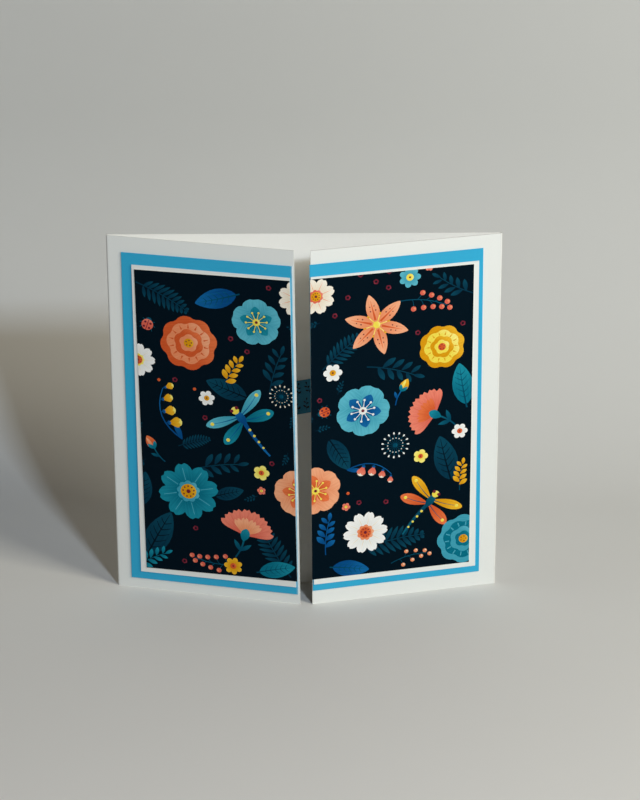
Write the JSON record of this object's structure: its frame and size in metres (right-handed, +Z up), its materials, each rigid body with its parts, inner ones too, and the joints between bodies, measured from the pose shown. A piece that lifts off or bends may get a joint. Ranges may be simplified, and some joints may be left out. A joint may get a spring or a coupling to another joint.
{
  "type": "greeting card",
  "caption": "Square gate-fold greeting card that stands part open, with layered mats and floral printed paper on its flaps and a label strip inside.",
  "frame": {"origin": "under the middle of the standing card, on the surface that its lower edges rest on", "axes": "+X to the right across the front, +Y to the back, +Z up; the flaps open towards -Y"},
  "size_m": [0.1396, 0.0176, 0.1397],
  "materials": {
    "white_card": "smooth uncoated white card",
    "blue_card": "smooth uncoated blue card",
    "printed_paper": "smooth printed paper, dark ground"
  },
  "bodies": {
    "root": {"card_base": "white_card", "left_blue_mat": "blue_card", "right_blue_mat": "blue_card", "left_white_mat": "white_card", "right_white_mat": "white_card", "left_print": "printed_paper", "right_print": "printed_paper", "inside_label": "blue_card"}
  },
  "joints": []
}
